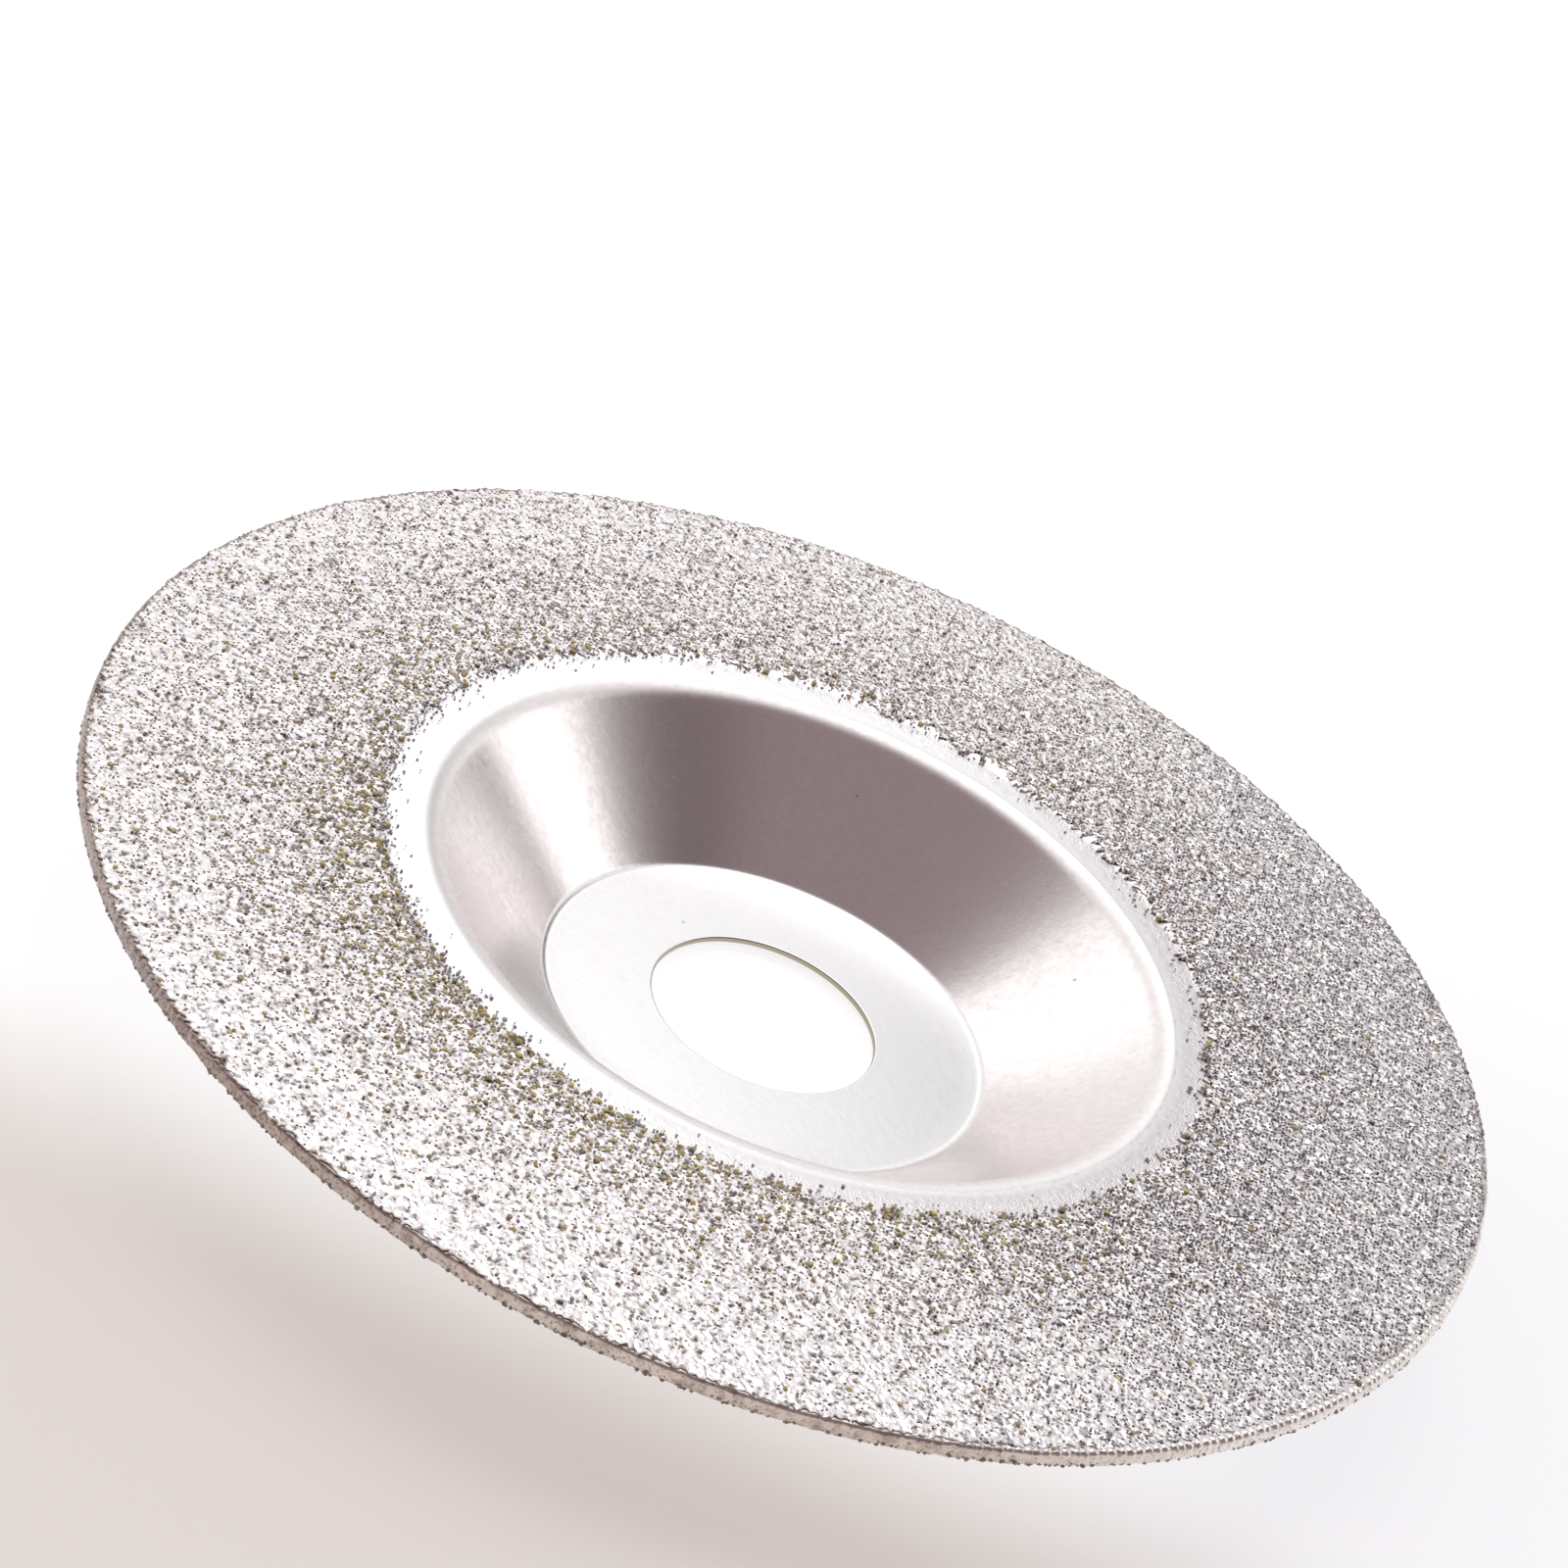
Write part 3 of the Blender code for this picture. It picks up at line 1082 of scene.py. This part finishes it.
@dataclass
class EdgeBand:
    """The nickel plated round the sheet's edge: an uneven band under a bead with grooves combed in it, with
    painted shade in the grooves and along the crest.
    """

    BARE_TOWARDS = math.radians(-35.0)
    BARE_FALL = 6  # power of the cosine by which the bare stretch ends

    lip: float = 0.00012  # radius of the lower corner
    lip_steps: int = 3
    side_steps: int = 4
    bead: float = 0.00026  # radius of the upper corner
    bead_steps: int = 6
    flange: float = 0.00062  # width of the bead, which the grit overlaps
    tuck: float = 0.00002  # depth of the flange's inner edge in the bond
    proud: float = 0.00009  # what the bead gains where it is bare
    groove: float = 0.00022
    ripple: float = 0.0001
    groove_pitch: float = 0.00062
    groove_depths: Span = (0.5, 1.0)
    wander: float = 0.35
    lump: float = 0.00007
    lump_widths: Span = (0.0003, 0.0009)
    hang: float = 0.0002  # most that the lower edge strays
    droop: float = 0.3  # share of that by which it strays downwards
    groove_shade: float = 0.85
    crest_depth: float = 0.0001  # of the painted shade line along the bead's crest, under the grit's edge
    crest_shade: Span = (0.6, 0.3)  # its mean, and what the lumps add
    segments: int = 2880
    sharp: float = math.radians(60.0)
    seed: int = 9

    @classmethod
    def bare(cls, angles: Array) -> Array:
        """How far the bead is bare of grit at angles round the axis."""
        return np.clip(np.cos(angles - cls.BARE_TOWARDS), 0.0, 1.0) ** cls.BARE_FALL

    def combed(self, angles: Array, girth: float, draws: Draws) -> Array:
        """Combs grooves round the axis.

        Args:
            angles: Angles round the axis.
            girth: Length of the rim.
            draws: Source of chance.

        Returns:
            Depth of the grooves, as a share of their greatest depth.
        """
        count = round(self.segments / round(self.segments * self.groove_pitch / girth))
        stagger = draws.uniform(-self.wander, self.wander, count)
        depth = draws.uniform(*self.groove_depths, count)
        turn = angles / TURN * count
        nearest = np.floor(turn).astype(int)
        aside = np.abs(turn - nearest - 0.5 - stagger[nearest] * 0.5) * 2
        return np.clip(aside, 0.0, 1.0) ** 2 * depth[nearest]

    def section(self, low: float, top: float, inner: float, outer: float) -> Section:
        """Draws the closed section of the band, before it is made uneven.

        Args:
            low: Height of its lower side.
            top: Height of its upper side.
            inner: Radius of the sheet's edge.
            outer: Radius of the rim.

        Returns:
            The section's points.
        """
        tucked = top - self.tuck
        lower = arc((outer - self.lip, low + self.lip), self.lip, -QUARTER, 0.0, self.lip_steps)
        upper = arc((outer - self.bead, top - self.bead), self.bead, 0.0, QUARTER, self.bead_steps)
        flange = [
            (outer - (self.bead + self.flange) / 2, top - self.tuck / 4),
            (outer - self.flange, tucked),
        ]
        side = between(lower[-1], upper[0], self.side_steps)
        return lower + side + upper + flange + [(inner, tucked), (inner, low)]

    def build(self, material: Material) -> Object:
        """Builds and dresses the band.

        Args:
            material: The nickel's finish.

        Returns:
            The piece.
        """
        draws = np.random.default_rng(self.seed)
        corner, far_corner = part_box("edge_nickel_band")
        low, outer = corner[2], far_corner[0]
        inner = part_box("pressed_disc")[1][0]
        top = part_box("front_nickel_bond")[1][2]
        points, faces = turned(self.section(low, top, inner, outer), self.segments)
        angles = np.arange(self.segments) * TURN / self.segments
        girth = TURN * outer
        bare = self.bare(angles)
        combed = self.combed(angles, girth, draws)
        lumps = sum(uneven(self.segments, round(girth / width), draws) for width in self.lump_widths) / 2
        radius, height = np.hypot(points[..., 0], points[..., 1]), points[..., 2].copy()
        rising = np.clip((height - low) / (top - low), 0.0, 1.0)
        outside = np.clip((radius - inner) / (outer - inner), 0.0, 1.0)
        upon = np.clip((height - top + self.tuck) / self.tuck, 0.0, 1.0)  # the bead's upper side
        depth = (self.ripple + self.groove * bare) * combed
        inwards = depth[:, None] * rising**2 - self.lump * lumps[:, None]
        points[..., :2] *= (1 - inwards * outside / radius)[..., None]
        points[..., 2] += upon * (self.proud * bare - self.groove * bare * combed)[:, None]
        points[..., 2] += self.hang * (lumps[:, None] - self.droop) * (1 - rising) ** 2 * outside
        made = new_piece("plated_edge_band", Slot.EDGE, material, points.reshape(-1, 3), faces)
        smooth(made, self.sharp)
        # painted shade: a dark line along the crest where the bead is not bare, and dark grooves
        crest = np.clip((height - top + self.crest_depth) / self.crest_depth, 0.0, 1.0)
        mean, gain = self.crest_shade
        shade = crest * ((1 - bare) * (mean + gain * lumps))[:, None]
        grooves = combed[:, None] ** 2 * rising**4 * self.groove_shade
        keep_mark(made, Mark.PAINTED_SHADE, np.maximum(grooves, shade).ravel())
        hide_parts("edge_nickel_band")
        return made


@dataclass(frozen=True)
class Panel:
    """A brighter or darker stretch of the tent, by its place across the view."""

    centre: float  # across part of the direction, from -1 at the left to 1 at the right
    core: float
    fade: float
    gain: float

    def glow(self, across: Signal) -> Signal:
        """What the panel adds to the tent's level."""
        return (across - self.centre).magnitude().ease(self.core + self.fade, self.core) * self.gain


@dataclass
class Studio:
    """A white tent behind the disc, a dim room in front of it, and a pale floor under it.

    Light comes by direction: its spans are parts of a direction across, ahead or up, from -1 to 1.
    """

    panels: tuple[Panel, ...] = (
        Panel(-0.82, 0.14, 0.16, 0.35),
        Panel(-0.12, 0.04, 0.12, 0.12),
        Panel(0.8, 0.14, 0.16, 0.6),
    )
    panel_tops: Span = (0.93, 0.78)
    shade: Panel = Panel(0.175, 0.04, 0.13, -0.9)
    shade_start: Span = (0.25, 0.4)  # up
    stand: Panel = Panel(0.58, 0.06, 0.06, 1.0)  # beside the right panel
    stand_colour: Colour = (0.16, 0.12, 0.11)
    stand_foot: Span = (0.15, 0.28)
    stand_head: Span = (0.39, 0.34)
    roof: Panel = Panel(0.0, 0.16, 0.2, 1.0)
    roof_start: Span = (0.585, 0.66)  # up
    tent_level: float = 1.06
    low_level: float = 0.96  # of the tent near the ground
    low_lean: float = 0.2  # what it loses towards the right
    low_end: Span = (0.05, 0.3)  # up
    edge: Span = (0.13, 0.3)  # ahead, where the room gives way to the tent
    lean: float = 0.12  # turn of that edge towards the right
    haze: Span = (-0.12, 0.13)  # a faint glow beside the edge
    haze_share: float = 0.14
    room_colour: Colour = (1.0, 0.79, 0.83)
    room_level: float = 0.31
    room_right: float = 0.2  # level of the room on the right
    right_start: Span = (0.33, 0.55)  # across
    room_front: float = 0.6  # level of the room low in front
    front_end: Span = (0.55, 0.15)  # up
    overhead: Span = (0.18, 0.45)  # across, of what is over the disc on the right
    ceiling: float = 0.12  # what the room loses there
    ceiling_start: Span = (0.84, 0.95)  # up
    ceiling_reach: Span = (-0.15, 0.05)  # ahead
    overhang: float = 0.22  # how far the room reaches over the disc there
    overhang_start: Span = (0.68, 0.9)  # up
    floor_half: float = 3.0
    floor_drop: float = 0.00002
    floor_far: Colour = (0.77, 0.77, 0.77)
    # painted shadow: a darker, warmer floor in front of the disc
    near_floor_shadow: Colour = (0.475, 0.425, 0.39)
    near_start: Span = (-26.0, -48.0)  # places ahead
    # painted shadow: a greyer floor to the right of the disc
    right_floor_shadow: Colour = (0.665, 0.665, 0.68)
    aside_start: Span = (14.0, 44.0)  # places across
    aside_end: Span = (75.0, 10.0)  # places ahead
    shadow_end: Span = (210.0, 120.0)  # radii, where the painted shadow ends and the floor turns white again
    floor_colour: Colour = (0.42, 0.42, 0.42)
    floor_bounce: Colour = (0.82, 0.81, 0.80)

    def light(self) -> None:
        """Sets the world's light by direction; the camera itself sees white."""
        world = bpy.data.worlds.new("studio")
        bpy.context.scene.world = world
        graph = Graph(world)
        across, ahead, up = graph.parts(graph.node("ShaderNodeTexCoord", output="Generated"))
        panels = sum(panel.glow(across) for panel in self.panels)
        panels = (panels + self.shade.glow(across) * up.ease(*self.shade_start)) * up.ease(*self.panel_tops)
        high = panels + self.roof.glow(across) * up.ease(*self.roof_start) + self.tent_level
        low = self.low_level - across * self.low_lean
        stand = self.stand.glow(across) * up.ease(*self.stand_foot) * up.ease(*self.stand_head)
        tent = graph.scaled(WHITE, (high - low) * up.ease(*self.low_end) + low)
        front = up.ease(*self.front_end) * (self.room_front - self.room_level)
        right = across.ease(*self.right_start) * (self.room_right - self.room_level)
        overhead = across.ease(*self.overhead)
        ceiling = up.ease(*self.ceiling_start) * overhead * ahead.ease(*self.ceiling_reach) * self.ceiling
        room = graph.scaled(self.room_colour, front + right - ceiling + self.room_level)
        cover = up.ease(*self.overhang_start) * overhead * self.overhang
        inside = ahead - across * self.lean - cover
        behind = inside.ease(*self.edge) * (1 - self.haze_share) + inside.ease(*self.haze) * self.haze_share
        light = graph.mix(behind, room, graph.mix(stand, tent, self.stand_colour))
        lit = graph.node("ShaderNodeBackground", values={"Color": light})
        white = graph.node("ShaderNodeBackground", values={"Color": WHITE})
        seen = graph.node("ShaderNodeLightPath", output="Is Camera Ray")
        shown = graph.node("ShaderNodeMixShader", values={0: seen, 1: lit, 2: white})
        graph.node("ShaderNodeOutputWorld", values={"Surface": shown})

    def floor_material(self) -> Material:
        """Builds the floor's finish, which glows near white with a painted shadow near the disc, and has no
        underside.

        Returns:
            Its material.
        """
        graph = Graph(bpy.data.materials.new("pale_floor"))
        place = graph.place()
        across, ahead, _ = graph.parts(place)
        # painted shadow in front of the disc and to its right, fading out far from it
        within = graph.radius(place).ease(*self.shadow_end)
        aside = across.ease(*self.aside_start) * ahead.ease(*self.aside_end) * within
        far = graph.mix(aside, self.floor_far, self.right_floor_shadow)
        colour = graph.mix(ahead.ease(*self.near_start) * within, far, self.near_floor_shadow)
        camera = graph.node("ShaderNodeLightPath", output="Is Camera Ray")
        glossy = graph.node("ShaderNodeLightPath", output="Is Glossy Ray")
        glow = graph.node("ShaderNodeEmission", values={"Color": colour})
        matte = graph.node("ShaderNodeBsdfDiffuse", values={"Color": self.floor_colour})
        shown = graph.node("ShaderNodeAddShader", values={0: glow, 1: matte})
        bounce = graph.node("ShaderNodeBsdfDiffuse", values={"Color": self.floor_bounce})
        direct = (camera + glossy).at_most(1.0)
        pale = graph.node("ShaderNodeMixShader", values={0: direct, 1: bounce, 2: shown})
        clear = graph.node("ShaderNodeBsdfTransparent")
        below = graph.node("ShaderNodeNewGeometry", output="Backfacing")
        whole = graph.node("ShaderNodeMixShader", values={0: below, 1: pale, 2: clear})
        graph.node("ShaderNodeOutputMaterial", values={"Surface": whole})
        return graph.owner

    def lay_floor(self) -> None:
        """Lays the floor, which keeps the disc's shadow."""
        half = self.floor_half
        mesh = bpy.data.meshes.new("floor")
        corners = [(-half, -half), (half, -half), (half, half), (-half, half)]
        mesh.from_pydata([(x, y, -self.floor_drop) for x, y in corners], [], [(0, 1, 2, 3)])
        mesh.materials.append(self.floor_material())
        floor = bpy.data.objects.new("floor", mesh)
        bpy.context.scene.collection.objects.link(floor)


@dataclass
class PhotoCamera:
    """The camera at the photograph's viewing angle, rolled as it was held."""

    place: Triple = (-0.001217, -0.251443, 0.172180)
    target: Triple = (-0.00518, 0.01424, 0.0096)
    roll: float = math.radians(23.354)
    lens: float = 101.86  # millimetres, for the sensor below
    sensor: float = 36.0
    clip: Span = (0.01, 20.0)

    def build(self) -> None:
        """Makes the camera and gives it to the scene."""
        data = bpy.data.cameras.new("photo_camera")
        data.lens = self.lens
        data.sensor_width = self.sensor
        data.clip_start, data.clip_end = self.clip
        ahead = (Vector(self.target) - Vector(self.place)).normalized()
        level = ahead.cross(Vector((0, 0, 1))).normalized()
        upright = level.cross(ahead)
        right = level * math.cos(self.roll) + upright * math.sin(self.roll)
        above = upright * math.cos(self.roll) - level * math.sin(self.roll)
        axes = Matrix((right, above, -ahead)).transposed()
        made = bpy.data.objects.new("photo_camera", data)
        made.matrix_world = Matrix.Translation(self.place) @ axes.to_4x4()
        bpy.context.scene.collection.objects.link(made)
        bpy.context.scene.camera = made


@dataclass
class GrindingDisc:
    """The whole disc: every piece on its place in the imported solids."""

    grit_inner: float = 0.02978  # mean radius of the grit's inner edge
    off_centre: float = 0.00035  # shift of that edge
    off_towards: float = math.radians(155.0)
    grit_inset: float = 0.00003  # of the grit from the rim
    grain_inset: float = 0.0004  # of the grains that stand in it
    grain_tops: Span = (-0.00008, 0.00003)  # from the grit's top
    fringe_tops: Span = (0.00009, 0.0002)  # from the band's top
    corner: Span = (-0.0011, -0.0001)  # from the rim, of the grit on the back corner
    corner_line: Span = (-0.00018, -0.00003)  # from the rim, of the grains that line the corner
    corner_tops: Span = (0.00008, 0.0003)  # from the band's lower side

    def build(self) -> list[Object]:
        """Builds every piece.

        Returns:
            The pieces in order.
        """
        sheet_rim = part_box("pressed_disc")[1][0]
        grit_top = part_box("front_diamond_grit")[1][2]
        (_, _, back), (rim, _, margin_top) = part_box("edge_nickel_band")
        shift = (self.off_centre, self.off_towards)
        front = GritField(self.grit_inner, rim - self.grit_inset, *shift)
        standing = GritField(self.grit_inner, rim - self.grain_inset, *shift)
        tops = shifted(grit_top, self.grain_tops)
        nickel = GritNickel().material()
        olive = BareDiamond("olive_diamond", pale=(0.72, 0.62, 0.24), deep=(0.33, 0.265, 0.15)).material()
        grey = BareDiamond("grey_diamond", pale=(0.54, 0.54, 0.56), deep=(0.26, 0.255, 0.27)).material()
        dark = BareDiamond("dark_diamond", pale=(0.50, 0.425, 0.37), deep=(0.2, 0.165, 0.145)).material()
        return [
            PressedDisc().build(SatinSteel().material()),
            BondCoat().build(self.grit_inner, sheet_rim, FrostedNickel().material()),
            GritCoat(
                "plated_grit_bed", "front_diamond_grit", Side.FRONT, front, recess=0.00052,
                skirts=(0.00014, 0.00013),
            ).build(nickel),
            Grains(
                "olive_diamonds", count=1900, size=(0.00022, 0.00055), field=standing, tops=tops,
                crowd=0.85, crowd_width=0.0042, crowd_lead=0.06, towards=math.radians(232.0), least=0.06,
                seed=21,
            ).build(olive),
            Grains(
                "grey_diamonds", count=1000, size=(0.0002, 0.0004), field=standing, tops=tops, crowd=0.15,
                crowd_width=0.003, seed=22,
            ).build(grey),
            Grains(
                "fringe_grains", count=1500, size=(0.0001, 0.00027), field=standing,
                tops=shifted(margin_top, self.fringe_tops), crowd=1.0, crowd_width=-0.0004,
                crowd_lead=0.3, towards=math.radians(200.0), least=0.15, seed=23,
            ).build(grey),
            EdgeBand().build(EdgeNickel().material()),
            GritCoat(
                "back_corner_grains", "back_corner_grit", Side.BACK,
                GritField(*shifted(rim, self.corner)), stray=0.0003, nibble=0.00006, sill=(0.0, 0.00003),
                bed=(0.00001, 0.00005), tips=(0.0001, 0.00025), tip_share=(0.2, 0.3), seed=4,
            ).build(nickel),
            Grains(
                "corner_diamonds", count=1500, size=(0.00014, 0.00036),
                field=GritField(*shifted(rim, self.corner_line)), tops=shifted(back, self.corner_tops),
                least=0.4, flatness=0.9, seed=24,
            ).build(dark),
        ]


def main() -> None:
    """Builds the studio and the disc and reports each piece."""
    logging.basicConfig(level=logging.INFO, format="%(name)s: %(message)s")
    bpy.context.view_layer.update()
    bpy.context.scene.view_settings.view_transform = "Standard"
    studio = Studio()
    studio.light()
    studio.lay_floor()
    PhotoCamera().build()
    for piece in GrindingDisc().build():
        LOG.info("%s: %d faces", piece.name, len(piece.data.polygons))


if __name__ == "__main__":
    main()
